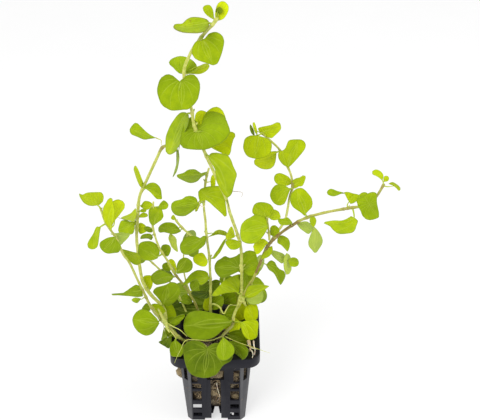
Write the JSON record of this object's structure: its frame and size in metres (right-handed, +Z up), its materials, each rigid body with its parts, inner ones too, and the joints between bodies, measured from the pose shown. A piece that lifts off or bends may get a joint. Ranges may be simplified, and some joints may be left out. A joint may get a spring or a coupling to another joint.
{
  "type": "potted plant",
  "caption": "Trailing creeping jenny with round yellow-green leaves on thin stems, rooted in wool in a square black slotted net pot.",
  "frame": {"origin": "the middle of the pot's base, on the plane that it stands on", "axes": "+Z up along the pot's axis, -Y the side the picture shows, +X to the viewer's right"},
  "size_m": [0.1742, 0.0995, 0.2865],
  "materials": {
    "pot_plastic": "satin black, moulded",
    "rooting_wool": "matte, damp brown fibre",
    "stem": "soft satin",
    "leaf": "soft satin, veined"
  },
  "bodies": {
    "root": {"arching_leaf_1": "leaf", "arching_leaf_2": "leaf", "arching_leaf_3": "leaf", "arching_leaf_4": "leaf", "arching_stem": "stem", "back_left_stem": "stem", "back_middle_stem": "stem", "back_right_stem": "stem", "front_leaf_1": "leaf", "front_stem": "stem", "inner_left_leaf_1": "leaf", "inner_left_leaf_2": "leaf", "inner_left_leaf_3": "leaf", "inner_left_stem": "stem", "left_leaf_1": "leaf", "left_leaf_2": "leaf", "left_leaf_3": "leaf", "left_stem": "stem", "middle_leaf_1": "leaf", "middle_leaf_2": "leaf", "middle_leaf_3": "leaf", "middle_leaf_4": "leaf", "middle_leaf_5": "leaf", "middle_stem": "stem", "outer_left_leaf_1": "leaf", "outer_left_leaf_2": "leaf", "outer_left_leaf_3": "leaf", "outer_left_leaf_4": "leaf", "outer_left_leaf_5": "leaf", "outer_left_leaf_6": "leaf", "outer_left_leaf_7": "leaf", "outer_left_stem": "stem", "pot": "pot_plastic", "rooting_wool": "rooting_wool", "short_left_stem": "stem", "short_right_leaf_1": "leaf", "short_right_stem": "stem", "tall_leaf_1": "leaf", "tall_leaf_10": "leaf", "tall_leaf_11": "leaf", "tall_leaf_12": "leaf", "tall_leaf_13": "leaf", "tall_leaf_14": "leaf", "tall_leaf_15": "leaf", "tall_leaf_16": "leaf", "tall_leaf_2": "leaf", "tall_leaf_3": "leaf", "tall_leaf_4": "leaf", "tall_leaf_5": "leaf", "tall_leaf_6": "leaf", "tall_leaf_7": "leaf", "tall_leaf_8": "leaf", "tall_leaf_9": "leaf", "tall_stem": "stem", "thin_left_stem": "stem", "upper_right_leaf_1": "leaf", "upper_right_leaf_2": "leaf", "upper_right_leaf_3": "leaf", "upper_right_leaf_4": "leaf", "upper_right_stem": "stem"}
  },
  "joints": []
}
